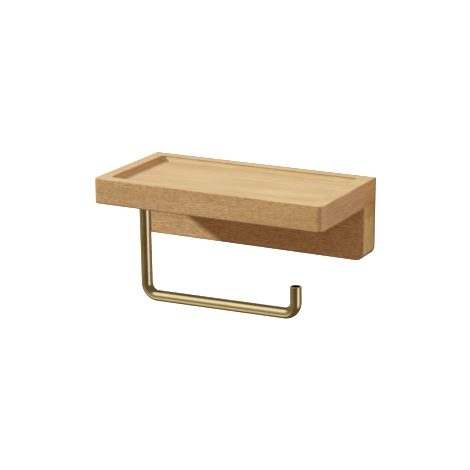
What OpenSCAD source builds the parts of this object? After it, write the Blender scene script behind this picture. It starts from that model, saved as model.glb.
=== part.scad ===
// Wall-mounted toilet paper holder: a wooden tray on a wooden backplate, with a bent brass hook
// rod screwed into the underside of the tray. Two keyhole plates hang it on two wall screws.
// Millimetres. +X runs right, +Y into the wall, +Z up. The origin lies on the wall face, midway
// between the centres of the two round keyhole entries.

/* [Tray] */
// Width of the tray and of the backplate
body_w = 190; // [184:1:210]
// Depth of the tray, from the wall to its front edge
tray_d = 99.5; // [92:0.5:110]
// Thickness of the tray board
tray_t = 19.5; // [19:0.5:24]
// Radius of the tray's two front corners
tray_corner_r = 5; // [3:0.5:8]
// Width of the rim at the two ends of the recess and along the wall
rim_w = 10.5; // [9:0.5:12]
// Width of the rim along the tray's front edge
rim_front_w = 9; // [8:0.5:12]
// Depth of the recess routed into the tray's top
recess_depth = 4; // [2:0.5:4.5]
// Radius of the recess's corners
recess_corner_r = 3.5; // [3:0.5:8]

/* [Backplate] */
// Height of the backplate below the tray
back_h = 41.5; // [39:0.5:50]
// Thickness of the backplate
back_t = 22; // [18:0.5:26]
// Radius of the backplate's two lower corners
back_corner_r = 7; // [4:0.5:16]
// Height of the keyhole entries above the backplate's lower edge
keyhole_rise = 20; // [18:0.5:22]

/* [Dowels] */
// Diameter of the three dowels that join the tray to the backplate
dowel_d = 8; // [6:1:8]
// Length of a dowel
dowel_l = 30; // [26:1:30]
// Length of dowel that stands up into the tray
dowel_in_tray = 12; // [10:0.5:12]
// Distance from the middle of the outer dowels to the end of the backplate
dowel_inset = 11; // [8:0.5:12]

/* [Hook rod] */
// Outside diameter of the brass tube that the rod is bent from
rod_d = 9; // [8:0.5:9]
// Wall thickness of that tube
rod_wall = 1; // [0.8:0.1:1.5]
// Distance from the left end of the tray to the middle of the leg's top
leg_inset = 23; // [20:0.5:30]
// Distance from the wall to the middle of the leg
leg_off_wall = 61; // [60:0.5:66]
// Length of the leg, from the tray's underside to the middle of the arm
leg_drop = 79.5; // [70:0.5:90]
// Length of the arm, from the middle of the leg to the middle of the tip
arm_l = 128; // [120:1:140]
// Angle by which the rod leans, so that the arm climbs towards its tip, in degrees
rod_tilt = 1; // [0:0.1:2]
// Radius of the bends, to the middle of the rod
bend_r = 9.5; // [9:0.5:13]
// Height of the tip's end above the middle of the arm
tip_h = 22; // [18:0.5:28]
// Chamfer round the open end of the tip
tip_chamfer = 0.3; // [0.1:0.1:0.5]

/* [Leg fixing] */
// Outside diameter of the stud on top of the leg
stud_d = 6; // [5:0.5:6]
// Radial clearance between the stud and the insert
stud_clear = 0.05; // [0.02:0.01:0.1]
// Length of the threaded insert
insert_l = 12; // [10:0.5:12]
// Diameter of the insert over its ridges
insert_d = 10; // [9:0.5:10.5]
// Diameter of the insert's flange
flange_d = 13; // [12:0.5:14]
// Diameter of the washer between the leg and the insert
washer_d = 15; // [14:0.5:18]
// Thickness of that washer
washer_t = 1.2; // [0.8:0.1:2]

/* [Keyhole plates] */
// Distance between the two keyholes
keyhole_pitch = 110; // [104:1:116]
// Diameter of the round entry, which the wall screw's head goes through
entry_d = 9; // [8.5:0.1:9.5]
// Width of the slot, which the wall screw's neck slides up
slot_w = 4.5; // [4.2:0.1:4.8]
// Rise from the middle of the entry to the end of the slot's straight sides
slot_rise = 6.5; // [5:0.5:7]
// Width of a plate
plate_w = 40; // [39:0.5:42]
// Height of a plate
plate_h = 22; // [22:0.5:23]
// Thickness of a plate
plate_t = 1.5; // [1.4:0.1:2]
// Depth of the pocket behind a plate, for the wall screw's head
pocket_depth = 6.5; // [5:0.5:8]
// Distance between the two small screws of one plate
screw_pitch = 29; // [28:0.5:30]
// Diameter of a small screw
screw_d = 3; // [2.5:0.1:3]
// Length of a small screw
screw_l = 12; // [10:1:13]

/* [Hidden] */
$fn = 96;
EPS = 0.01;

// Heights: the tray rests on top of the backplate
back_bottom = -keyhole_rise;
seam_z = back_bottom + back_h;
tray_top = seam_z + tray_t;

// Places across the width and depth
leg_x = leg_inset - body_w / 2;
leg_y = -leg_off_wall;
dowel_x = body_w / 2 - dowel_inset;
dowel_y = -back_t / 2;
keyhole_x = keyhole_pitch / 2;

// Small allowances
hole_spare = 0.5;       // depth left past the end of a dowel or an insert
plate_gap = 0.2;        // gap all round a plate in its recess
pocket_r = entry_d / 2 + 1;
plate_z = slot_rise / 2 + 0.25;
flange_t = 1.5;
ridge_n = 5;
flute_n = 10;
flute_r = 0.5;
dowel_chamfer = 1;
head_d = screw_d * 1.87;
head_t = (head_d - screw_d) / 2;
drive_l = 3;
drive_w = 0.7;
drive_depth = 0.9;
plug_l = 10;            // length of the plug in the leg's top

WOOD_TRAY = [0.80, 0.64, 0.44];
WOOD_BACK = [0.74, 0.57, 0.37];
WOOD_DOWEL = [0.85, 0.73, 0.54];
BRASS = [0.72, 0.58, 0.32];
STEEL = [0.62, 0.63, 0.65];

// Rectangle from (x0, y0) to (x1, y1) with all four corners rounded
module rounded_rect(x0, y0, x1, y1, r) {
    translate([x0 + r, y0]) square([x1 - x0 - 2 * r, y1 - y0]);
    translate([x0, y0 + r]) square([x1 - x0, y1 - y0 - 2 * r]);
    for (x = [x0 + r, x1 - r], y = [y0 + r, y1 - r])
        translate([x, y]) circle(r);
}

// Rectangle with the two corners on its low-y side rounded
module low_rounded_rect(x0, y0, x1, y1, r) {
    translate([x0 + r, y0]) square([x1 - x0 - 2 * r, y1 - y0]);
    translate([x0, y0 + r]) square([x1 - x0, y1 - y0 - r]);
    for (x = [x0 + r, x1 - r])
        translate([x, y0 + r]) circle(r);
}

// Extrudes an outline drawn in X and Z away from the wall, from depth y0 to depth y0 + d
module into_wood(y0, d) {
    translate([0, -y0, 0]) rotate([90, 0, 0]) linear_extrude(d) children();
}

// Upright keyhole outline, or the pocket behind it: a round entry and a slot of the given radii
module keyhole_outline(entry_r, slot_r, rise) {
    circle(entry_r);
    translate([-slot_r, 0]) square([2 * slot_r, rise]);
    translate([0, rise]) circle(slot_r);
}

module dowel_holes() {
    down = dowel_l - dowel_in_tray + hole_spare;
    for (x = [-dowel_x, 0, dowel_x])
        translate([x, dowel_y, seam_z - down])
            cylinder(d = dowel_d, h = dowel_l + 2 * hole_spare);
}

module tray() {
    color(WOOD_TRAY)
    difference() {
        translate([0, 0, seam_z])
            linear_extrude(tray_t)
                low_rounded_rect(-body_w / 2, -tray_d, body_w / 2, 0, tray_corner_r);
        translate([0, 0, tray_top - recess_depth])
            linear_extrude(recess_depth + 1)
                rounded_rect(-body_w / 2 + rim_w, -tray_d + rim_front_w, body_w / 2 - rim_w, -rim_w,
                             recess_corner_r);
        dowel_holes();
        translate([leg_x, leg_y, seam_z - 1]) {
            cylinder(d = insert_d, h = 1 + insert_l + hole_spare);
            cylinder(d = flange_d, h = 1 + flange_t);
        }
    }
}

module backplate() {
    color(WOOD_BACK)
    difference() {
        into_wood(0, back_t)
            low_rounded_rect(-body_w / 2, back_bottom, body_w / 2, seam_z, back_corner_r);
        dowel_holes();
        for (x = [-keyhole_x, keyhole_x])
            translate([x, 0, 0]) {
                plate_recess();
                into_wood(plate_t - EPS, pocket_depth + EPS)
                    keyhole_outline(pocket_r, pocket_r, slot_rise);
                for (side = [-1, 1])
                    translate([side * screw_pitch / 2, 0, plate_z]) screw_solid();
            }
    }
}

// Recess that lets a keyhole plate sit flush with the wall face
module plate_recess() {
    into_wood(-1, plate_t + 1)
        rounded_rect(-plate_w / 2 - plate_gap, plate_z - plate_h / 2 - plate_gap,
                     plate_w / 2 + plate_gap, plate_z + plate_h / 2 + plate_gap,
                     plate_h / 2 + plate_gap - EPS);
}

// Fluted wooden dowel with chamfered ends, standing up through the seam
module dowel(x) {
    straight = dowel_l - 2 * dowel_chamfer;
    color(WOOD_DOWEL)
    translate([x, dowel_y, seam_z + dowel_in_tray - dowel_l])
    difference() {
        union() {
            cylinder(d1 = dowel_d - 2 * dowel_chamfer, d2 = dowel_d, h = dowel_chamfer);
            translate([0, 0, dowel_chamfer]) cylinder(d = dowel_d, h = straight);
            translate([0, 0, dowel_chamfer + straight])
                cylinder(d1 = dowel_d, d2 = dowel_d - 2 * dowel_chamfer, h = dowel_chamfer);
        }
        for (i = [0:flute_n - 1])
            rotate([0, 0, i * 360 / flute_n])
                translate([dowel_d / 2 + flute_r / 3, 0, -1])
                    cylinder(r = flute_r, h = dowel_l + 2, $fn = 24);
    }
}

// Flanged insert, ridged outside and bored right through for the stud
module threaded_insert() {
    core_r = insert_d / 2 - 0.8;
    outer_r = insert_d / 2;
    bore_r = stud_d / 2;
    pitch = (insert_l - flange_t) / ridge_n;
    ridges = [for (i = [0:ridge_n - 1], step = [0:3])
        let (z = flange_t + i * pitch)
        [step == 1 || step == 2 ? outer_r : core_r,
         z + [0.2, 0.45, 0.6, 0.85][step] * pitch]];
    color(BRASS)
    translate([leg_x, leg_y, seam_z])
    rotate_extrude()
        polygon(concat([[bore_r, 0], [flange_d / 2, 0], [flange_d / 2, flange_t],
                        [core_r, flange_t]],
                       ridges, [[core_r, insert_l], [bore_r, insert_l]]));
}

module leg_washer() {
    color(BRASS)
    translate([leg_x, leg_y, seam_z - washer_t])
    difference() {
        cylinder(d = washer_d, h = washer_t);
        translate([0, 0, -1]) cylinder(d = stud_d, h = washer_t + 2);
    }
}

// Quarter-turn bend of radius r in the XZ plane, round a centre at the origin
module rod_bend(from, r) {
    rotate([90, 0, 0]) rotate([0, 0, from])
        rotate_extrude(angle = 90)
            translate([bend_r, 0]) circle(r);
}

// One bent tube. Leg, arm and tip stand square to each other and lean together by rod_tilt, which
// lifts the tip. The plug brazed into the leg's top carries the stud, which stands upright, and
// the leg is cut level where it meets the washer.
module hook_rod() {
    leg_top = seam_z - washer_t;
    color(BRASS)
    translate([leg_x, leg_y, 0]) {
        translate([0, 0, leg_top - 1])
            cylinder(r = stud_d / 2 - stud_clear, h = 1 + insert_l);
        difference() {
            translate([0, 0, seam_z]) rotate([0, -rod_tilt, 0])
                difference() {
                    bent_rod(rod_d / 2, 1, tip_chamfer);
                    bent_rod(rod_d / 2 - rod_wall, -washer_t - plug_l, 0);
                }
            translate([-rod_d, -rod_d, leg_top]) cube([2 * rod_d, 2 * rod_d, 3]);
        }
    }
}

// The bent rod, or its bore, before it leans: the leg hangs from height top, the arm runs towards
// +X. The outside ends in a chamfer; the bore has none and runs out through the end of the tip.
module bent_rod(r, top, chamfer) {
    bend_z = bend_r - leg_drop;
    tip_top = tip_h - leg_drop;
    translate([0, 0, bend_z]) cylinder(r = r, h = top - bend_z);
    translate([bend_r, 0, bend_z]) rod_bend(180, r);
    translate([bend_r, 0, -leg_drop]) rotate([0, 90, 0]) cylinder(r = r, h = arm_l - 2 * bend_r);
    translate([arm_l - bend_r, 0, bend_z]) rod_bend(270, r);
    if (chamfer > 0) {
        translate([arm_l, 0, bend_z]) cylinder(r = r, h = tip_top - chamfer - bend_z);
        translate([arm_l, 0, tip_top - chamfer]) cylinder(r1 = r, r2 = r - chamfer, h = chamfer);
    } else
        translate([arm_l, 0, bend_z]) cylinder(r = r, h = tip_top + 1 - bend_z);
}

module keyhole_plate(x) {
    color(STEEL)
    translate([x, 0, 0])
    difference() {
        into_wood(0, plate_t)
            rounded_rect(-plate_w / 2, plate_z - plate_h / 2, plate_w / 2, plate_z + plate_h / 2,
                         plate_h / 2 - EPS);
        into_wood(-1, plate_t + 2) keyhole_outline(entry_d / 2, slot_w / 2, slot_rise);
        for (side = [-1, 1])
            translate([side * screw_pitch / 2, 0, plate_z]) screw_solid();
    }
}

// Countersunk screw without its drive recess, head flush with the wall face
module screw_solid() {
    point_l = screw_d;
    rotate([90, 0, 0]) {
        cylinder(d1 = head_d, d2 = screw_d, h = head_t);
        cylinder(d = screw_d, h = screw_l - point_l);
        translate([0, 0, screw_l - point_l]) cylinder(d1 = screw_d, d2 = 0.4, h = point_l);
    }
}

// Cross-drive screw that holds one end of a keyhole plate
module plate_screw(x) {
    color(STEEL)
    translate([x, 0, plate_z])
    difference() {
        screw_solid();
        for (turn = [0, 90])
            rotate([0, turn, 0])
                translate([-drive_l / 2, -drive_depth, -drive_w / 2])
                    cube([drive_l, drive_depth + 1, drive_w]);
    }
}

tray();
backplate();
dowel(-dowel_x);  // dowel_left
dowel(0);  // dowel_middle
dowel(dowel_x);  // dowel_right
threaded_insert();
leg_washer();
hook_rod();
keyhole_plate(-keyhole_x);  // keyhole_plate_left
keyhole_plate(keyhole_x);  // keyhole_plate_right
plate_screw(-keyhole_x - screw_pitch / 2);  // plate_screw_left_outer
plate_screw(-keyhole_x + screw_pitch / 2);  // plate_screw_left_inner
plate_screw(keyhole_x - screw_pitch / 2);  // plate_screw_right_inner
plate_screw(keyhole_x + screw_pitch / 2);  // plate_screw_right_outer
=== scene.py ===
"""Looks of the wooden tray with its bent brass rod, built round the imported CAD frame.

Metres, in the frame's own axes: +X right, +Y into the wall, +Z up, origin on the wall face.
"""
import math
from collections import namedtuple
import bmesh
import bpy
from mathutils import Matrix, Vector


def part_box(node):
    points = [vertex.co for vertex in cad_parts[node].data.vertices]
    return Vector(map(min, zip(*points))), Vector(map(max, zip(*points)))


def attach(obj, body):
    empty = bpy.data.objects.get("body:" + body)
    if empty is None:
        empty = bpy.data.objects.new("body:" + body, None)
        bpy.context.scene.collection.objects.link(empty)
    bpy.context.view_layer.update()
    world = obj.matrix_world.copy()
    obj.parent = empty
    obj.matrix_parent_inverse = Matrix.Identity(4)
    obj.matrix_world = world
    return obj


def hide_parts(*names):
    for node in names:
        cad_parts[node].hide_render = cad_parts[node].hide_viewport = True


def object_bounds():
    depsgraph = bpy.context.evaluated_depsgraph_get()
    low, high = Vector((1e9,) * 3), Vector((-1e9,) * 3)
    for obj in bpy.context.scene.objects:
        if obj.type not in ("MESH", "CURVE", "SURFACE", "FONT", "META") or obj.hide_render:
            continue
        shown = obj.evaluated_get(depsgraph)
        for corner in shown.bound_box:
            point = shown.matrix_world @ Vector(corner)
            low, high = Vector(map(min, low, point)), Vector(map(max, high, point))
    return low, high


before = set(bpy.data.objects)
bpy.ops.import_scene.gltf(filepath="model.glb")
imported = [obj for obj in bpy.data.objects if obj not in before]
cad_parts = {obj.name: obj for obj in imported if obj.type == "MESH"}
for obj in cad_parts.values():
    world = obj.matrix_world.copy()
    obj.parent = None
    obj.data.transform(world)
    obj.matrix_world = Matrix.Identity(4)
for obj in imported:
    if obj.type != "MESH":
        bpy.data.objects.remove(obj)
CAD_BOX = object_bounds()
MM = 0.001

# ---- sizes taken from the CAD boxes ---------------------------------------------------------
TRAY_LOW, TRAY_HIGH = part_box("tray")
BACK_LOW, BACK_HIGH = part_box("backplate")
WASHER_LOW, WASHER_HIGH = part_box("leg_washer")
INSERT_LOW, INSERT_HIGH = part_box("threaded_insert")
SEAM_Z = TRAY_LOW.z
LEG = (WASHER_LOW + WASHER_HIGH) / 2

# ---- tray and backplate ---------------------------------------------------------------------
TRAY_CORNER_R = 5 * MM
REAR_CORNER_R = 0.6 * MM
LEAST_CORNER_R = 0.05 * MM
RIM_W = 10.5 * MM
RIM_FRONT_W = 9 * MM
RECESS_DEPTH = 4 * MM
RECESS_CORNER_R = 3.5 * MM
RECESS_FLOOR_Z = TRAY_HIGH.z - RECESS_DEPTH
TOP_EASE = 0.6 * MM        # rounding of the tray's top outer edge
UNDER_EASE = 0.5 * MM      # rounding of the tray's lower outer edge
RIM_EASE = 0.5 * MM        # rounding of the rim's inner edge
COVE_R = 1.0 * MM          # hollow left by the router where the recess wall meets its floor
BACK_CORNER_R = 7 * MM
BACK_FRONT_EASE = 1.0 * MM
JOINT_RUN_OUT = 2 * MM     # length over which the lower edge's rounding dies out at the backplate
CORNER_STEPS = 12
EASE_STEPS = 5

# ---- fixings let into the wood --------------------------------------------------------------
DOWELS = ("dowel_left", "dowel_middle", "dowel_right")
PLATE_SIDES = ("left", "right")
PLATE_ENDS = ("outer", "inner")
PLATE_GAP = 0.2 * MM
POCKET_DEPTH = 6.5 * MM
POCKET_R = 5.5 * MM
SLOT_RISE = 6.5 * MM
HOLE_SPARE = 0.5 * MM      # room left at the end of a dowel hole and of the insert's hole
FLANGE_T = 1.5 * MM
INSERT_R = 5 * MM
SCREW_HOLE_R = 1.5 * MM
SCREW_SHANK_L = 9 * MM
SCREW_POINT_R = 0.2 * MM
CUT_SPARE = 1 * MM         # length of a cutter that stands out of the wood
ROUND_END = 0.999          # a little under a full half round, so that no two points fall together
CUTTER_SIDES = 48
SCREW_HOLE_SIDES = 24

# ---- bent rod -------------------------------------------------------------------------------
ROD_R = 4.5 * MM
LEG_DROP = 79.5 * MM
ARM_L = 128 * MM
BEND_R = 9.5 * MM
TIP_H = 22 * MM
ROD_TILT = math.radians(1)
TIP_EASE = 0.3 * MM
BORE_R = 3.5 * MM
BORE_EASE = 0.15 * MM
PLUG_L = 10 * MM           # plug brazed into the leg's top, which carries the stud
SHOULDER_EASE = 0.3 * MM
STUD_L = 12 * MM
STUD_R = 2.95 * MM
STUD_ROOT_R = 2.4 * MM
STUD_PITCH = 1 * MM
CREST_FLAT = 1.3           # above 1, the thread's crests are cut flat
RINGS_PER_TURN = 8
BEND_STEPS = 24
ARM_STEPS = 12
TURNED_SIDES = 64

# ---- turned washer and the eased edges of the pieces that keep their CAD shape --------------
WASHER_BORE_R = 3 * MM
WASHER_EASE = 0.25 * MM
INSERT_EDGE = 0.1 * MM
PLATE_EDGE = 0.2 * MM
SCREW_EDGE = 0.06 * MM
WELD_GAP = 1e-6
DOUBLE_GAP = 1e-7
FLAT_WITHIN = math.radians(1)
EDGE_ANGLE = math.radians(30)

# ---- wood: linear colours, and tints that multiply them -------------------------------------
Wood = namedtuple("Wood", "name light mid fleck end seed grain end_streak")
TRAY_WOOD = Wood(
    name="beech_tray",
    light=(0.59, 0.46, 0.270),
    mid=(0.49, 0.368, 0.20),
    fleck=(0.35, 0.225, 0.11),
    end=(0.60, 0.415, 0.255),
    seed=0.0,
    grain="X",
    end_streak=(9, 22, 0.7),
)
BACK_WOOD = Wood(
    name="beech_back",
    light=(0.71, 0.555, 0.325),
    mid=(0.605, 0.455, 0.245),
    fleck=(0.40, 0.25, 0.11),
    end=(0.57, 0.455, 0.24),
    seed=31.7,
    grain="X",
    end_streak=(9, 0.9, 14),
)
DOWEL_WOOD = Wood(
    name="beech_dowel",
    light=(0.70, 0.52, 0.31),
    mid=(0.62, 0.44, 0.24),
    fleck=(0.45, 0.28, 0.14),
    end=(0.62, 0.43, 0.24),
    seed=57.3,
    grain="Z",
    end_streak=(9, 22, 0.7),
)
WARMER_PATCH = (1.04, 0.94, 0.82)
DARK_STREAK = (0.74, 0.70, 0.68)
PORE = (0.80, 0.74, 0.66)
# Painted highlight: the tray's end grain paler near its rounded front corner.
END_FRONT_PAINTED_HIGHLIGHT = (1.16, 1.20, 1.30)
END_YELLOW_REAR = (0.99, 0.94, 0.62)
END_ABOVE_JOINT = (0.78, 0.73, 0.70)
# Painted shade: browner end grain on the recess's walls.
END_RECESS_PAINTED_SHADE = (0.90, 0.82, 0.56)
SIDE_RIGHT = (0.90, 0.87, 0.72)
FLAT_RIGHT = (1.0, 1.0, 0.92)
# Painted sheen: flat and routed faces paler and less yellow.
FLAT_PAINTED_SHEEN = (0.99, 1.03, 1.06)
# Painted light: the recess's walls paler still.
ROUTED_PAINTED_LIGHT = (1.12, 1.20, 1.26)
# Painted light and shade on the backplate's ends: paler toward the front, darker toward the wall.
BACK_END_PAINTED_LIGHT = (1.12, 1.12, 1.06)
BACK_END_PAINTED_SHADE = (0.92, 0.92, 0.78)
BACK_END_TOP = (0.86, 0.77, 0.66)
RIM_LINE = (0.74, 0.66, 0.52)
# Painted shadow of the recess's left wall on the recess floor.
LEFT_WALL_PAINTED_SHADOW = (0.79, 0.56, 0.31)
# Painted shade along the lower edges, the edges at the wall and the backplate's lower corners.
EDGE_PAINTED_SHADE = (0.46, 0.42, 0.40)
END_SHARE = 0.92
RIM_LINE_SHARE = 0.4
EDGE_SHADE_SHARE = 0.85
WOOD_RELIEF = 0.05 * MM
WOOD_IOR = 1.45

# ---- metal ----------------------------------------------------------------------------------
BRASS_DARK = (0.77, 0.65, 0.37)
BRASS_LIGHT = (0.84, 0.715, 0.43)
BRASS_LINE = (0.66, 0.54, 0.29)
BRASS_RELIEF = 0.004 * MM
ZINC_DARK = (0.50, 0.52, 0.55)
ZINC_LIGHT = (0.66, 0.67, 0.68)
ZINC_RELIEF = 0.005 * MM
ZINC_METALLIC = 0.6

# ---- camera and stage -----------------------------------------------------------------------
CAMERA_AT = (0.59587, -1.21958, 0.36592)
CAMERA_YAW = math.radians(26.980)
CAMERA_PITCH = math.radians(15.736)
CAMERA_ROLL = math.radians(-0.060)
CAMERA_LENS = 137.16
CAMERA_SENSOR = 36
FLOOR_DROP = 1.1
FLOOR_HALF = 12.0
FLOOR_COLOUR = (0.93, 0.93, 0.93, 1.0)
FLOOR_ROUGH = 0.9
FLOOR_GLOW_COLOUR = (1.0, 1.0, 1.0, 1.0)
FLOOR_GLOW = 0.5
KEY_FROM = Vector((-0.720, -0.534, 0.443))
KEY_STRENGTH = 3.0
KEY_ANGLE = math.radians(4)
KEY_COLOUR = (1.0, 0.985, 0.95)
SEEN_WHITE = (1.1, 1.1, 1.1)

# Soft-edged panels of light: direction, half angle and softness in degrees, and colour.
Card = namedtuple("Card", "towards half_angle soft colour")
ROOM_BELOW = (0.03, 0.015, 0.009)
ROOM_LOW = (0.15, 0.070, 0.038)
ROOM_HIGH = (0.26, 0.19, 0.13)
ROOM_PANELS = (
    Card((0.93, 0.10, 0.34), 38, 10, (1.45, 1.18, 0.92)),       # right
    Card((-0.44, 0.86, 0.30), 40, 18, (1.20, 1.15, 1.10)),      # behind, a little above
    Card((0.0, 0.0, 1.0), 35, 15, (0.95, 0.90, 0.82)),          # overhead
    Card((-0.15, -0.90, -0.38), 40, 25, (0.37, 0.185, 0.10)),   # dim and warm, in front and below
)
MIRRORED_LOW = (0.125, 0.090, 0.035)
MIRRORED_HIGH = (0.14, 0.12, 0.08)
MIRRORED_CARDS = (
    Card((-0.50, -0.60, 0.62), 23, 8, (0.93, 0.92, 0.94)),      # front left, above
    Card((-0.44, -0.86, 0.12), 14, 12, (0.27, 0.26, 0.23)),     # dim, front left
    Card((-0.44, -0.60, -0.67), 19, 8, (0.60, 0.58, 0.54)),     # front left, below
    Card((0.928, -0.250, -0.275), 19, 6, (0.99, 0.94, 1.10)),   # right, a little below
    Card((0.80, 0.53, -0.27), 20, 14, (0.11, 0.10, 0.12)),      # dim, right and behind
    Card((-0.95, -0.08, -0.28), 24, 12, (0.20, 0.19, 0.18)),    # dim, left
    Card((-0.44, 0.88, 0.17), 12, 5, (0.75, 0.75, 0.75)),       # behind
)


# ---- mesh helpers ---------------------------------------------------------------------------
def circle(sides):
    """Angles of evenly spaced points on a full turn."""
    return [2 * math.pi * i / sides for i in range(sides)]


def outline(low, high, radii, steps=CORNER_STEPS):
    """Anticlockwise points of a rectangle with rounded corners.

    Radii are for the corners low-low, high-low, high-high and low-high.
    """
    points = []
    for turn, r in enumerate(radii):
        x = high[0] - r if turn in (1, 2) else low[0] + r
        y = high[1] - r if turn in (2, 3) else low[1] + r
        start = math.pi + turn * math.pi / 2
        for i in range(steps + 1 if r > 0 else 1):
            a = start + (i / steps) * math.pi / 2
            points.append((x + r * math.cos(a), y + r * math.sin(a)))
    return points


def quarter(r, steps=EASE_STEPS):
    """(inset, rise) pairs of a quarter round, from its foot on the flat to its end on the side."""
    angles = [i / steps * math.pi / 2 for i in range(steps + 1)]
    return [(r * (1 - math.sin(a)), r * (1 - math.cos(a))) for a in angles]


def loft(bm, rings, cap_first=True, cap_last=True):
    """Skins rings of equal length, and closes the two ends."""
    rows = [[bm.verts.new(p) for p in ring] for ring in rings]
    n = len(rows[0])
    for a, b in zip(rows, rows[1:]):
        for i in range(n):
            bm.faces.new((a[i], a[(i + 1) % n], b[(i + 1) % n], b[i]))
    if cap_first:
        bm.faces.new(list(reversed(rows[0])))
    if cap_last:
        bm.faces.new(rows[-1])
    return rows


def finish_mesh(bm, name):
    """Welds, faces outward, and makes an object of the mesh."""
    bmesh.ops.remove_doubles(bm, verts=bm.verts, dist=DOUBLE_GAP)
    bmesh.ops.recalc_face_normals(bm, faces=bm.faces)
    mesh = bpy.data.meshes.new(name)
    bm.to_mesh(mesh)
    bm.free()
    obj = bpy.data.objects.new(name, mesh)
    bpy.context.collection.objects.link(obj)
    return obj


def keep_flats(obj):
    """Keeps flat faces flat beside rounded edges."""
    weighted = obj.modifiers.new("flat_faces", "WEIGHTED_NORMAL")
    weighted.keep_sharp = True


def smooth(obj, crease):
    """Smooth shading with creases above the given angle in degrees."""
    obj.data.shade_smooth()
    obj.data.set_sharp_from_angle(angle=math.radians(crease))
    keep_flats(obj)


def carve(obj, cutters):
    """Takes the cutters out of the object, and removes them."""
    for cutter in cutters:
        cut = obj.modifiers.new("cut", "BOOLEAN")
        cut.operation = "DIFFERENCE"
        cut.solver = "EXACT"
        cut.object = cutter
    bpy.context.view_layer.update()
    graph = bpy.context.evaluated_depsgraph_get()
    carved = bpy.data.meshes.new_from_object(obj.evaluated_get(graph))
    obj.modifiers.clear()
    obj.data = carved
    carved.name = obj.name
    for cutter in cutters:
        bpy.data.objects.remove(cutter)


def lathe_cutter(centre, profile, along, sides=CUTTER_SIDES):
    """Closed turned solid. Profile: (radius, distance along the axis)."""
    turn = Vector((0, 0, 1)).rotation_difference(Vector(along)).to_matrix()
    rings = [[centre + turn @ Vector((r * math.cos(a), r * math.sin(a), h)) for a in circle(sides)]
             for r, h in profile]
    bm = bmesh.new()
    loft(bm, rings)
    return finish_mesh(bm, "cutter")


def slab_cutter(points, y0, y1):
    """Outline in X and Z, carried from y0 to y1."""
    bm = bmesh.new()
    loft(bm, [[Vector((x, y, z)) for x, z in points] for y in (y0, y1)])
    return finish_mesh(bm, "cutter")


def dowel_cutters():
    """Round holes for the dowels, a little longer than the dowels."""
    found = []
    for name in DOWELS:
        low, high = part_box(name)
        centre = Vector(((low.x + high.x) / 2, (low.y + high.y) / 2, 0))
        r = (high.x - low.x) / 2
        profile = [(r, low.z - HOLE_SPARE), (r, high.z + HOLE_SPARE)]
        found.append(lathe_cutter(centre, profile, (0, 0, 1)))
    return found


# ---- the wooden parts -----------------------------------------------------------------------
def with_stops(points, left, right):
    """Adds two points to each side of a ring, where the backplate's front face meets the tray."""
    half = 2 * (CORNER_STEPS + 1)
    stops = [BACK_LOW.y - JOINT_RUN_OUT, BACK_LOW.y]
    rising = [(right, y) for y in stops]
    falling = [(left, y) for y in reversed(stops)]
    return points[:half] + rising + points[half:] + falling


def tray_outline(inset):
    """The tray's outside seen from above, drawn in by the inset."""
    low = (TRAY_LOW.x + inset, TRAY_LOW.y + inset)
    high = (TRAY_HIGH.x - inset, TRAY_HIGH.y - inset)
    front_r = TRAY_CORNER_R - inset
    rear_r = max(REAR_CORNER_R - inset, LEAST_CORNER_R)
    return with_stops(outline(low, high, (front_r, front_r, rear_r, rear_r)), low[0], high[0])


def tray_ring(inset, z, joined=False):
    """One ring of the tray's outside. Where the backplate joins from below, nothing is eased."""
    points = tray_outline(inset)
    if joined:
        over_back = BACK_LOW.y - JOINT_RUN_OUT / 2
        points = [full if full[1] > over_back else eased for eased, full in zip(points, tray_outline(0))]
    return [Vector((x, y, z)) for x, y in points]


def recess_ring(inset, z):
    """One ring of the recess, with as many points as the outside has."""
    low = (TRAY_LOW.x + RIM_W + inset, TRAY_LOW.y + RIM_FRONT_W + inset)
    high = (TRAY_HIGH.x - RIM_W - inset, TRAY_HIGH.y - RIM_W - inset)
    points = with_stops(outline(low, high, (RECESS_CORNER_R - inset,) * 4), low[0], high[0])
    return [Vector((x, y, z)) for x, y in points]


def insert_cutter():
    """Stepped hole for the threaded insert and its flange."""
    flange_r = (INSERT_HIGH.x - INSERT_LOW.x) / 2
    flange_top = SEAM_Z + FLANGE_T
    hole_top = INSERT_HIGH.z + HOLE_SPARE
    profile = [(flange_r, SEAM_Z - CUT_SPARE), (flange_r, flange_top)]
    profile += [(INSERT_R, flange_top), (INSERT_R, hole_top)]
    return lathe_cutter(Vector((LEG.x, LEG.y, 0)), profile, (0, 0, 1))


def build_tray():
    """The tray: outside from below, over the rim, and down into the recess."""
    top = TRAY_HIGH.z
    rings = [tray_ring(inset, TRAY_LOW.z + rise, joined=True) for inset, rise in quarter(UNDER_EASE)]
    rings += [tray_ring(inset, top - rise) for inset, rise in reversed(quarter(TOP_EASE))]
    rings += [recess_ring(rise - RIM_EASE, top - inset) for inset, rise in reversed(quarter(RIM_EASE))]
    rings += [recess_ring(inset, RECESS_FLOOR_Z + rise) for inset, rise in reversed(quarter(COVE_R))]
    bm = bmesh.new()
    loft(bm, rings)
    tray = finish_mesh(bm, "tray_board")
    carve(tray, dowel_cutters() + [insert_cutter()])
    return tray


def back_ring(inset, y):
    """One ring of the backplate: eased at its ends and foot, square where it meets the tray."""
    points = outline((BACK_LOW.x + inset, BACK_LOW.z + inset), (BACK_HIGH.x - inset, BACK_HIGH.z),
                     (BACK_CORNER_R - inset,) * 2 + (0, 0))
    return [Vector((x, y, z)) for x, z in points]


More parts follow.
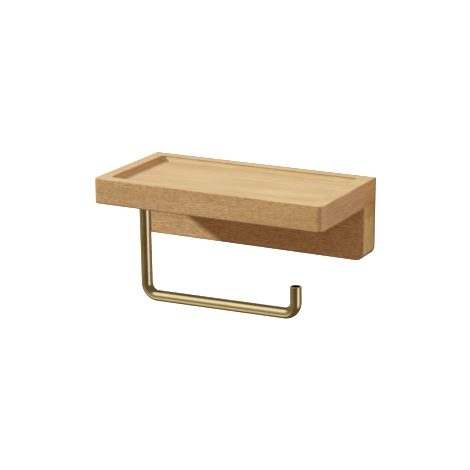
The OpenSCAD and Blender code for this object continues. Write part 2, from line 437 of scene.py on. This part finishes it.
def plate_cutters(plate):
    """Recess, pocket and screw holes behind one keyhole plate."""
    low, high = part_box(plate)
    x = (low.x + high.x) / 2
    r = (high.z - low.z) / 2 + PLATE_GAP
    shallow = outline((low.x - PLATE_GAP, low.z - PLATE_GAP), (high.x + PLATE_GAP, high.z + PLATE_GAP),
                      (r * ROUND_END,) * 4)
    deep = outline((x - POCKET_R, -POCKET_R), (x + POCKET_R, SLOT_RISE + POCKET_R),
                   (POCKET_R * ROUND_END,) * 4)
    found = [slab_cutter(shallow, CUT_SPARE, low.y), slab_cutter(deep, CUT_SPARE, low.y - POCKET_DEPTH)]
    for end in PLATE_ENDS:
        s_low, s_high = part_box(plate.replace("keyhole_plate", "plate_screw") + "_" + end)
        centre = Vector(((s_low.x + s_high.x) / 2, 0, (s_low.z + s_high.z) / 2))
        profile = [(SCREW_HOLE_R, -CUT_SPARE), (SCREW_HOLE_R, SCREW_SHANK_L), (SCREW_POINT_R, -s_low.y)]
        found.append(lathe_cutter(centre, profile, (0, -1, 0), SCREW_HOLE_SIDES))
    return found


def build_backplate():
    """The backplate, lofted from its rear face to its front."""
    rings = [back_ring(inset, BACK_HIGH.y - rise) for inset, rise in quarter(REAR_CORNER_R)]
    rings += [back_ring(inset, BACK_LOW.y + rise) for inset, rise in reversed(quarter(BACK_FRONT_EASE))]
    bm = bmesh.new()
    loft(bm, rings)
    back = finish_mesh(bm, "backplate_board")
    carve(back, dowel_cutters() + plate_cutters("keyhole_plate_left") + plate_cutters("keyhole_plate_right"))
    return back


# ---- the rod and its washer -----------------------------------------------------------------
def rod_path():
    """(x, z, tangent angle from -Z) down the leg, along the arm and up the tip, before the rod leans."""
    bend_z = BEND_R - LEG_DROP
    turns = [i / BEND_STEPS * math.pi / 2 for i in range(BEND_STEPS + 1)]
    path = [(0, WASHER_LOW.z - SEAM_Z - SHOULDER_EASE, 0), (0, bend_z / 2, 0)]
    path += [(BEND_R * (1 - math.cos(a)), bend_z - BEND_R * math.sin(a), a) for a in turns]
    straight = ARM_L - 2 * BEND_R
    path += [(BEND_R + straight * i / ARM_STEPS, -LEG_DROP, math.pi / 2) for i in range(1, ARM_STEPS)]
    path += [(ARM_L - BEND_R * (1 - math.sin(a)), bend_z - BEND_R * math.cos(a), math.pi / 2 + a)
             for a in turns]
    path.append((ARM_L, TIP_H - LEG_DROP - TIP_EASE, math.pi))
    return path


def thread_radius(z, a, run_out):
    """Radius of the stud's thread at a height and an angle. Run_out is 0 where the thread dies out."""
    phase = (z / STUD_PITCH - a / (2 * math.pi)) % 1
    crest = min(1, CREST_FLAT * (1 - abs(2 * phase - 1)))
    return STUD_ROOT_R + (STUD_R - STUD_ROOT_R) * crest * run_out


class RodSkin:
    """Rings of the rod's skin round the leg's foot, and the length unrolled at each of them."""

    def __init__(self):
        self.sides = circle(TURNED_SIDES)
        self.foot = Vector((LEG.x, LEG.y, SEAM_Z))
        self.lean = Matrix.Rotation(-ROD_TILT, 3, "Y")
        self.rings = []
        self.lengths = []

    def threaded(self, z, run_out):
        """Ring of the upright stud."""
        radii = [thread_radius(z, a, run_out) for a in self.sides]
        self.rings.append([self.foot + Vector((r * math.cos(a), r * math.sin(a), z))
                           for r, a in zip(radii, self.sides)])
        self.lengths.append(-z)

    def square(self, x, z, tangent, radius, length):
        """Round ring square to the leaning rod's path."""
        across = Vector((math.cos(tangent), 0, math.sin(tangent)))
        deep = Vector((0, 1, 0))
        centre = Vector((x, 0, z))
        spokes = [math.cos(a) * across + math.sin(a) * deep for a in self.sides]
        self.rings.append([self.foot + self.lean @ (centre + radius * spoke) for spoke in spokes])
        self.lengths.append(length)

    def mesh(self, name):
        """Skins the rings, and keeps the unrolled place of every point for the polishing lines."""
        bm = bmesh.new()
        layer = bm.verts.layers.float_vector.new("rod_space")
        for row, along in zip(loft(bm, self.rings), self.lengths):
            for vert, a in zip(row, self.sides):
                vert[layer] = Vector((ROD_R * math.cos(a), ROD_R * math.sin(a), along))
        return finish_mesh(bm, name)


def build_rod():
    """The whole rod as one skin: threaded stud, shoulder, leg, arm, tip, its open end and the bore."""
    skin = RodSkin()
    shoulder = WASHER_LOW.z - SEAM_Z
    steps = int((STUD_L - shoulder) / STUD_PITCH * RINGS_PER_TURN)
    for i in range(steps + 1):
        run_out = min(1, i / RINGS_PER_TURN, (steps - i) / RINGS_PER_TURN)
        skin.threaded(STUD_L - i / steps * (STUD_L - shoulder), run_out)
    for inset, rise in quarter(SHOULDER_EASE):
        skin.square(0, shoulder - rise, 0, ROD_R - inset, -shoulder)
    path = rod_path()
    length = -shoulder
    for (x0, z0, _), (x, z, tangent) in zip(path, path[1:]):
        length += math.hypot(x - x0, z - z0)
        skin.square(x, z, tangent, ROD_R, length)
    tip_top = TIP_H - LEG_DROP
    for inset, rise in reversed(quarter(TIP_EASE)):
        skin.square(ARM_L, tip_top - rise, math.pi, ROD_R - inset, length)
    for flare, rise in ((BORE_EASE, 0), (0, BORE_EASE)):
        skin.square(ARM_L, tip_top - rise, math.pi, BORE_R + flare, length)
    for x, z, tangent in reversed(path[1:]):
        skin.square(x, z, tangent, BORE_R, length)
    skin.square(0, shoulder - PLUG_L, 0, BORE_R, length)
    return skin.mesh("bent_rod")


def build_washer():
    """Turned washer with eased edges, between the leg's shoulder and the insert."""
    outer = (WASHER_HIGH.x - WASHER_LOW.x) / 2
    inner = WASHER_BORE_R
    ease = WASHER_EASE
    profile = [(inner + ease, WASHER_LOW.z)]
    profile += [(outer - inset, WASHER_LOW.z + rise) for inset, rise in quarter(ease)]
    profile += [(outer - inset, WASHER_HIGH.z - rise) for inset, rise in reversed(quarter(ease))]
    profile += [(inner + ease, WASHER_HIGH.z), (inner, WASHER_HIGH.z - ease), (inner, WASHER_LOW.z + ease)]
    rings = [[Vector((LEG.x + r * math.cos(a), LEG.y + r * math.sin(a), z)) for a in circle(TURNED_SIDES)]
             for r, z in profile]
    bm = bmesh.new()
    loft(bm, rings + [rings[0]], cap_first=False, cap_last=False)
    return finish_mesh(bm, "turned_washer")


# ---- material helpers -----------------------------------------------------------------------
class Nodes:
    """Small shorthand for building one node tree."""

    def __init__(self, tree):
        self.tree = tree
        tree.nodes.clear()

    def put(self, socket, value):
        """Links a socket's value, or sets it where the value is a constant."""
        if isinstance(value, bpy.types.NodeSocket):
            self.tree.links.new(value, socket)
        else:
            socket.default_value = value

    def add(self, kind, inputs=None, **settings):
        node = self.tree.nodes.new(kind)
        for key, value in settings.items():
            setattr(node, key, value)
        for key, value in (inputs or {}).items():
            self.put(node.inputs[key], value)
        return node

    def math(self, operation, a, b=0.0, clamp=False):
        return self.add("ShaderNodeMath", {0: a, 1: b}, operation=operation, use_clamp=clamp).outputs[0]

    def vector(self, operation, a, b=(0, 0, 0), output="Vector"):
        b = tuple(b) if isinstance(b, Vector) else b
        return self.add("ShaderNodeVectorMath", {0: a, 1: b}, operation=operation).outputs[output]

    def split(self, vector):
        return self.add("ShaderNodeSeparateXYZ", {0: vector}).outputs[:3]

    def stretched_noise(self, vector, size_mm, detail=2.0, rough=0.5, shift=0.0, distortion=0.0):
        """Noise whose blobs are about size_mm across in X, Y and Z."""
        scale = tuple(1 / (s * MM) for s in size_mm)
        place = self.add("ShaderNodeMapping", {"Vector": vector, "Location": (shift,) * 3, "Scale": scale})
        noise = self.add("ShaderNodeTexNoise", {"Vector": place.outputs[0], "Scale": 1.0, "Detail": detail,
                                                "Roughness": rough, "Distortion": distortion})
        return noise.outputs["Fac"]

    def ramp(self, value, low, high, to_low=0.0, to_high=1.0):
        """Smooth step between two values."""
        node = self.add("ShaderNodeMapRange", {"Value": value, "From Min": low, "From Max": high,
                                               "To Min": to_low, "To Max": to_high},
                        interpolation_type="SMOOTHSTEP", clamp=True)
        return node.outputs[0]

    def fade(self, value, low, high):
        """Mask that is 1 up to the lower value and 0 past the higher one."""
        return self.ramp(value, low, high, 1.0, 0.0)

    def both(self, mask, *others):
        """Mask where all of them hold."""
        for other in others:
            mask = self.math("MULTIPLY", mask, other)
        return mask

    def either(self, a, b):
        """Mask where one of them holds."""
        return self.math("MAXIMUM", a, b)

    def without(self, mask, other):
        """Mask where the first holds and the other doesn't."""
        return self.math("MULTIPLY", mask, self.math("SUBTRACT", 1.0, other))

    def mix(self, factor, a, b, blend="MIX"):
        node = self.add("ShaderNodeMix", data_type="RGBA", blend_type=blend)
        self.put(node.inputs[0], factor)
        for socket, colour in ((node.inputs[6], a), (node.inputs[7], b)):
            self.put(socket, (*colour, 1.0) if isinstance(colour, tuple) else colour)
        return node.outputs[2]

    def tint(self, colour, by):
        return self.mix(1.0, colour, by, "MULTIPLY")

    def stain(self, colour, mask, by):
        """The colour, multiplied by the tint where the mask holds."""
        return self.mix(mask, colour, self.tint(colour, by))


def new_material(name):
    """A material with an empty node tree, and the shorthand for it."""
    material = bpy.data.materials.new(name)
    material.use_nodes = True
    return material, Nodes(material.node_tree)


def shade(nodes, colour, rough, bump=None, bump_distance=0.0, **constants):
    """Principled shader with its own constants set on its sockets."""
    shader = nodes.add("ShaderNodeBsdfPrincipled", {"Base Color": colour, "Roughness": rough})
    for key, value in constants.items():
        shader.inputs[key.replace("_", " ")].default_value = value
    if bump is not None:
        relief = nodes.add("ShaderNodeBump", {"Height": bump, "Strength": 1.0, "Distance": bump_distance})
        nodes.tree.links.new(relief.outputs[0], shader.inputs["Normal"])
    nodes.add("ShaderNodeOutputMaterial", {"Surface": shader.outputs[0]})


# ---- beech ----------------------------------------------------------------------------------
class Surface:
    """Where a point of the wood lies and which way it faces, with its grain laid along X."""

    def __init__(self, n, grain):
        coordinates = n.add("ShaderNodeTexCoord")
        self.world = coordinates.outputs["Object"]
        facing = coordinates.outputs["Normal"]
        self.x, self.y, self.z = n.split(self.world)
        self.toward_wall = n.split(facing)[1]
        self.place = self.world
        if grain == "Z":
            self.place = self.laid_down(n, self.place)
            facing = self.laid_down(n, facing)
        along, _, self.up = n.split(facing)
        self.on_end = n.ramp(n.math("ABSOLUTE", along), 0.55, 0.9)
        self.on_top = n.ramp(n.math("ABSOLUTE", self.up), 0.55, 0.9)

    @staticmethod
    def laid_down(n, vector):
        turned = n.add("ShaderNodeVectorRotate", {"Vector": vector, "Axis": (0, 1, 0), "Angle": math.pi / 2})
        return turned.outputs[0]


def recess_distance(n, place):
    """Distance from the recess's outline seen from above, in metres: negative inside it."""
    low = Vector((TRAY_LOW.x + RIM_W, TRAY_LOW.y + RIM_FRONT_W, 0))
    high = Vector((TRAY_HIGH.x - RIM_W, TRAY_HIGH.y - RIM_W, 0))
    inner = (high - low) / 2 - Vector((RECESS_CORNER_R, RECESS_CORNER_R, 0))
    flat = n.vector("MULTIPLY", place, (1, 1, 0))
    past = n.vector("SUBTRACT", n.vector("ABSOLUTE", n.vector("SUBTRACT", flat, (low + high) / 2)), inner)
    outside = n.vector("LENGTH", n.vector("MAXIMUM", past, (0, 0, 0)), output="Value")
    x, y, _ = n.split(past)
    inside = n.math("MINIMUM", n.math("MAXIMUM", x, y), 0.0)
    return n.math("SUBTRACT", n.math("ADD", outside, inside), RECESS_CORNER_R)


def beech_figure(n, place, wood):
    """Long soft grain in broad zones, bands and fine lines. Returns its colour and the fine lines."""
    broad = n.stretched_noise(place, (70, 13, 9), 2, 0.5, wood.seed)
    band = n.stretched_noise(place, (120, 3.4, 2.6), 2, 0.55, wood.seed + 3.1, 0.2)
    fine = n.stretched_noise(place, (11, 0.5, 0.38), 3, 0.65, wood.seed + 7.7)
    hue = n.stretched_noise(place, (22, 9, 5), 1, 0.5, wood.seed + 17.9)
    tone = n.math("ADD", n.ramp(broad, 0.3, 0.7, -0.30, 0.30), n.ramp(band, 0.3, 0.7, -0.22, 0.22))
    tone = n.math("ADD", tone, n.ramp(fine, 0.3, 0.7, -0.30, 0.30))
    base = n.mix(n.math("ADD", tone, 0.5, clamp=True), wood.mid, wood.light)
    return n.stain(base, n.ramp(hue, 0.38, 0.62, 0.0, 0.7), WARMER_PATCH), fine


def ray_flecks(n, place, wood):
    """Mask of the short dark flecks that beech shows on its sides."""
    short = n.stretched_noise(place, (3.0, 8, 0.45), 2, 0.5, wood.seed + 11.3, 0.3)
    long = n.stretched_noise(place, (9, 12, 0.7), 1, 0.5, wood.seed + 14.9, 0.3)
    return n.either(n.ramp(short, 0.47, 0.62, 0.0, 0.80), n.ramp(long, 0.54, 0.66, 0.0, 0.70))


def end_grain(n, place, wood):
    """Colour of the end grain, in streaks."""
    streaks = n.stretched_noise(place, wood.end_streak, 3, 0.6, wood.seed + 23.1, 0.3)
    return n.mix(n.ramp(streaks, 0.38, 0.62), n.tint(wood.end, DARK_STREAK), wood.end)


def open_pores(n, base, at, wood):
    """Short dark pores on the flat faces."""
    pores = n.stretched_noise(at.place, (4.5, 0.45, 0.45), 2, 0.5, wood.seed + 29.3)
    return n.stain(base, n.both(at.on_top, n.ramp(pores, 0.56, 0.70, 0.0, 0.55)), PORE)


def routed_wall(n, at, from_recess):
    """Mask of the recess's walls, from just above its floor."""
    above_floor = n.ramp(at.z, RECESS_FLOOR_Z + 0.1 * MM, RECESS_FLOOR_Z + 0.6 * MM)
    return n.both(n.fade(from_recess, 0.2 * MM, 0.6 * MM), above_floor)


def tray_end_tone(n, tone, at, routed):
    """The tray's ends: a painted highlight at the front corner, yellower to the rear, browner above the
    joint, and painted shade on the recess's walls.
    """
    tone = n.stain(tone, n.fade(at.y, TRAY_LOW.y + 2 * MM, TRAY_LOW.y + 11 * MM), END_FRONT_PAINTED_HIGHLIGHT)
    tone = n.stain(tone, n.ramp(at.y, BACK_LOW.y * 1.6, BACK_LOW.y * 0.5), END_YELLOW_REAR)
    above_joint = n.fade(at.z, TRAY_LOW.z + MM, TRAY_LOW.z + 9 * MM)
    tone = n.stain(tone, n.both(n.ramp(at.y, BACK_LOW.y, BACK_LOW.y * 0.4), above_joint), END_ABOVE_JOINT)
    return n.stain(tone, routed, END_RECESS_PAINTED_SHADE)


def tray_face_tone(n, base, at, routed):
    """The tray's faces: yellower toward its right end, with a painted sheen on flat and routed faces and
    further painted light on the routed ones.
    """
    plain = n.either(at.on_top, routed)
    to_right = n.mix(plain, n.tint(base, SIDE_RIGHT), n.tint(base, FLAT_RIGHT))
    base = n.mix(n.ramp(at.x, 0.0, TRAY_HIGH.x), base, to_right)
    base = n.stain(base, plain, FLAT_PAINTED_SHEEN)
    return n.stain(base, routed, ROUTED_PAINTED_LIGHT)


def back_end_tone(n, tone, at):
    """The backplate's ends: painted light toward the front and painted shade, a little yellower, toward the
    wall, and browner close under the tray.
    """
    near_wall = n.ramp(at.y, BACK_LOW.y, 0.0)
    tone = n.mix(near_wall, n.tint(tone, BACK_END_PAINTED_LIGHT), n.tint(tone, BACK_END_PAINTED_SHADE))
    under_tray = n.ramp(at.z, BACK_HIGH.z - 10.5 * MM, BACK_HIGH.z - 8.0 * MM)
    return n.stain(tone, under_tray, BACK_END_TOP)


def rim_line_and_painted_shadow(n, base, at, from_recess):
    """Browner wood along the rim's inner edge, and a painted shadow on the recess's floor beside its left
    wall.
    """
    front = TRAY_LOW.y + RIM_FRONT_W
    left = TRAY_LOW.x + RIM_W
    rim_line = n.both(n.fade(n.math("ABSOLUTE", from_recess), 0.2 * MM, 0.7 * MM),
                      n.ramp(at.z, TRAY_HIGH.z - 1.0 * MM, TRAY_HIGH.z - 0.7 * MM),
                      n.ramp(at.y, front + 2 * MM, front + 6 * MM))
    base = n.stain(base, n.both(rim_line, RIM_LINE_SHARE), RIM_LINE)
    left_wall_shadow = n.both(n.fade(at.x, left + 2.5 * MM, left + 5.5 * MM),
                          n.fade(from_recess, -0.5 * MM, 0.2 * MM),
                          n.ramp(at.z, RECESS_FLOOR_Z - MM, RECESS_FLOOR_Z - 0.5 * MM),
                          at.on_top)
    return n.stain(base, left_wall_shadow, LEFT_WALL_PAINTED_SHADOW)


def painted_edge_shade(n, base, at, tray):
    """Painted shade along the lower front edge, the edges at the wall and the backplate's lower corners."""
    foot = TRAY_LOW.z if tray else BACK_LOW.z
    edge_shade = n.both(n.fade(at.z, foot + 0.4 * MM, foot + 1.5 * MM), n.ramp(at.up, -0.9, -0.8))
    if tray:
        edge_shade = n.both(edge_shade, n.fade(at.y, BACK_LOW.y - 3 * MM, BACK_LOW.y))
    at_wall = n.both(n.ramp(at.y, -4.5 * MM, -1.0 * MM), n.fade(at.toward_wall, 0.85, 0.98))
    edge_shade = n.either(edge_shade, at_wall)
    if not tray:
        corner = n.both(n.ramp(at.up, -0.5, -0.1, 0.85, 0.0), n.ramp(at.up, -0.98, -0.9))
        edge_shade = n.either(edge_shade, corner)
    return n.stain(base, n.both(edge_shade, EDGE_SHADE_SHARE), EDGE_PAINTED_SHADE)


def beech(wood, tray=False):
    """Oiled beech: long soft grain, ray flecks on the sides, and streaks on the end grain."""
    material, n = new_material(wood.name)
    at = Surface(n, wood.grain)
    base, fine = beech_figure(n, at.place, wood)
    flecks = n.without(ray_flecks(n, at.place, wood), at.on_top)
    end_tone = end_grain(n, at.place, wood)
    if tray:
        from_recess = recess_distance(n, at.world)
        routed = routed_wall(n, at, from_recess)
        flecks = n.without(flecks, routed)
        # Painted highlight and shade on the tray's ends.
        end_tone = tray_end_tone(n, end_tone, at, routed)
        # Painted sheen and light on the tray's flat and routed faces.
        base = tray_face_tone(n, base, at, routed)
    else:
        # Painted light and shade on the backplate's ends.
        end_tone = back_end_tone(n, end_tone, at)
    base = open_pores(n, base, at, wood)
    base = n.mix(flecks, base, wood.fleck)
    base = n.mix(n.both(at.on_end, END_SHARE), base, end_tone)
    if tray:
        # Painted shadow beside the recess's left wall.
        base = rim_line_and_painted_shadow(n, base, at, from_recess)
    if wood.grain == "X":
        # Painted shade along the lower edges, at the wall and at the backplate's lower corners.
        base = painted_edge_shade(n, base, at, tray)
    rough = n.math("ADD", n.ramp(fine, 0.2, 0.8, 0.42, 0.54), n.math("MULTIPLY", flecks, 0.06))
    height = n.math("SUBTRACT", n.math("MULTIPLY", fine, 0.5), n.math("MULTIPLY", flecks, 0.5))
    shade(n, base, rough, height, WOOD_RELIEF, IOR=WOOD_IOR)
    return material


# ---- brass and zinc -------------------------------------------------------------------------
def brass(name, rod_space):
    """Satin brass with fine polishing lines and a little unevenness. Rod_space lays them along the rod."""
    material, n = new_material(name)
    if rod_space:
        place = n.add("ShaderNodeAttribute", attribute_name="rod_space").outputs["Vector"]
    else:
        place = n.add("ShaderNodeTexCoord").outputs["Object"]
    lines = n.stretched_noise(place, (0.18, 0.18, 22) if rod_space else (0.2, 6, 0.2), 2, 0.6, 2.0)
    cloud = n.stretched_noise(place, (5, 5, 14), 2, 0.5, 5.0)
    colour = n.mix(n.ramp(cloud, 0.35, 0.65), BRASS_DARK, BRASS_LIGHT)
    colour = n.mix(n.ramp(lines, 0.3, 0.7, 0.0, 0.3), colour, BRASS_LINE)
    rough = n.math("ADD", n.ramp(cloud, 0.3, 0.7, 0.14, 0.19), n.ramp(lines, 0.3, 0.7, 0.0, 0.04))
    shade(n, colour, rough, lines, BRASS_RELIEF, Metallic=1.0)
    return material


def zinc(name):
    """Bright zinc plate: pale blue-grey, with faint rolling lines and a mottled bloom."""
    material, n = new_material(name)
    place = n.add("ShaderNodeTexCoord").outputs["Object"]
    bloom = n.stretched_noise(place, (2.2, 2.2, 2.2), 3, 0.6, 1.0)
    lines = n.stretched_noise(place, (9, 0.12, 0.12), 2, 0.6, 4.0)
    colour = n.mix(n.ramp(bloom, 0.35, 0.65), ZINC_DARK, ZINC_LIGHT)
    rough = n.math("ADD", n.ramp(bloom, 0.3, 0.7, 0.28, 0.42), n.ramp(lines, 0.3, 0.7, 0.0, 0.06))
    shade(n, colour, rough, lines, ZINC_RELIEF, Metallic=ZINC_METALLIC)
    return material


def use(obj, material):
    """Makes the material the object's only one."""
    obj.data.materials.clear()
    obj.data.materials.append(material)


def dress(name, material, edge=0.0):
    """Material and eased edges for a CAD node that keeps its shape."""
    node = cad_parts[name]
    for slot in node.material_slots:
        slot.link = "OBJECT"
        slot.material = material
    if edge:
        weld = node.modifiers.new("weld", "WELD")
        weld.merge_threshold = WELD_GAP
        merge = node.modifiers.new("merge_flats", "DECIMATE")
        merge.decimate_type = "DISSOLVE"
        merge.angle_limit = FLAT_WITHIN
        ease = node.modifiers.new("ease", "BEVEL")
        ease.limit_method = "ANGLE"
        ease.angle_limit = EDGE_ANGLE
        ease.width = edge
        ease.segments = 2
        ease.use_clamp_overlap = True
        keep_flats(node)


# ---- the stage ------------------------------------------------------------------------------
def make_camera():
    """Camera at the photograph's angle."""
    data = bpy.data.cameras.new("camera")
    data.lens = CAMERA_LENS
    data.sensor_width = CAMERA_SENSOR
    camera = bpy.data.objects.new("camera", data)
    camera.matrix_world = (Matrix.Translation(CAMERA_AT) @ Matrix.Rotation(CAMERA_YAW, 4, "Z")
                           @ Matrix.Rotation(math.pi / 2 - CAMERA_PITCH, 4, "X")
                           @ Matrix.Rotation(CAMERA_ROLL, 4, "Z"))
    bpy.context.collection.objects.link(camera)
    bpy.context.scene.camera = camera


def make_floor():
    """Wide pale floor far below, that neither lights the object nor shows in the brass."""
    z = CAD_BOX[0].z - FLOOR_DROP
    corners = [(-1, -1), (1, -1), (1, 1), (-1, 1)]
    bm = bmesh.new()
    bm.faces.new([bm.verts.new((FLOOR_HALF * x, FLOOR_HALF * y, z)) for x, y in corners])
    floor = finish_mesh(bm, "floor")
    material, n = new_material("pale_floor")
    shade(n, FLOOR_COLOUR, FLOOR_ROUGH, Emission_Color=FLOOR_GLOW_COLOUR, Emission_Strength=FLOOR_GLOW)
    use(floor, material)
    floor.visible_diffuse = False
    floor.visible_glossy = False


def make_key():
    """One soft sun from the left, in front and above, that doesn't show in the brass."""
    data = bpy.data.lights.new("key", "SUN")
    data.energy = KEY_STRENGTH
    data.angle = KEY_ANGLE
    data.color = KEY_COLOUR
    key = bpy.data.objects.new("key", data)
    key.rotation_mode = "QUATERNION"
    key.rotation_quaternion = KEY_FROM.to_track_quat("Z", "Y")
    key.visible_glossy = False
    bpy.context.collection.objects.link(key)


def add_cards(n, direction, colour, cards):
    """The world's colour with soft-edged panels added to it."""
    for card in cards:
        towards = Vector(card.towards).normalized()
        nearness = n.vector("DOT_PRODUCT", direction, towards, output="Value")
        within = math.cos(math.radians(card.half_angle - card.soft))
        beyond = math.cos(math.radians(card.half_angle + card.soft))
        panel = n.mix(n.ramp(nearness, beyond, within), (0.0, 0.0, 0.0), card.colour)
        colour = n.mix(1.0, colour, panel, "ADD")
    return colour


def make_world():
    """White to the eye. A dim warm room with panels lights matt surfaces, and gloss mirrors its own cards."""
    world = bpy.data.worlds.new("studio")
    bpy.context.scene.world = world
    world.use_nodes = True
    world.cycles.sampling_method = "NONE"
    n = Nodes(world.node_tree)
    direction = n.add("ShaderNodeTexCoord").outputs["Generated"]
    _, _, height = n.split(direction)
    below = n.mix(n.ramp(height, -0.95, -0.25), ROOM_BELOW, ROOM_LOW)
    room = n.mix(n.ramp(height, -0.2, 0.25), below, ROOM_HIGH)
    room = add_cards(n, direction, room, ROOM_PANELS)
    mirrored = n.mix(n.ramp(height, -0.3, 0.2), MIRRORED_LOW, MIRRORED_HIGH)
    mirrored = add_cards(n, direction, mirrored, MIRRORED_CARDS)
    light_path = n.add("ShaderNodeLightPath").outputs
    lit = n.mix(light_path["Is Glossy Ray"], room, mirrored)
    seen = n.mix(light_path["Is Camera Ray"], lit, SEEN_WHITE)
    background = n.add("ShaderNodeBackground", {"Color": seen})
    n.add("ShaderNodeOutputWorld", {"Surface": background.outputs[0]})


# ---- put it together ------------------------------------------------------------------------
def replace_pieces(turned_brass):
    """The meshes made here, in place of the CAD's sharp-edged ones."""
    made = ((build_tray(), "tray", "holder", "wood_tray", beech(TRAY_WOOD, tray=True), 35),
            (build_backplate(), "backplate", "holder", "wood_backplate", beech(BACK_WOOD), 35),
            (build_rod(), "hook_rod", "hook", "brass_rod", brass("brass_rod_satin", True), 50),
            (build_washer(), "leg_washer", "holder", "brass_fixing", turned_brass, 35))
    for wooden, *_ in made[:2]:
        wooden.visible_glossy = False
    for obj, node, body, slot, material, crease in made:
        use(obj, material)
        smooth(obj, crease)
        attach(obj, body)
        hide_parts(node)


def dress_pieces(turned_brass):
    """Materials and eased edges for the pieces that keep their CAD shape."""
    dowel_wood = beech(DOWEL_WOOD)
    for name in DOWELS:
        dress(name, dowel_wood)
    dress("threaded_insert", turned_brass, INSERT_EDGE)
    plate_zinc = zinc("zinc_plated_steel")
    for side in PLATE_SIDES:
        dress("keyhole_plate_" + side, plate_zinc, PLATE_EDGE)
        for end in PLATE_ENDS:
            dress(f"plate_screw_{side}_{end}", plate_zinc, SCREW_EDGE)


def main():
    bpy.context.scene.view_settings.view_transform = "Standard"
    make_camera()
    make_floor()
    make_key()
    make_world()
    turned_brass = brass("brass_turned", False)
    replace_pieces(turned_brass)
    dress_pieces(turned_brass)


main()
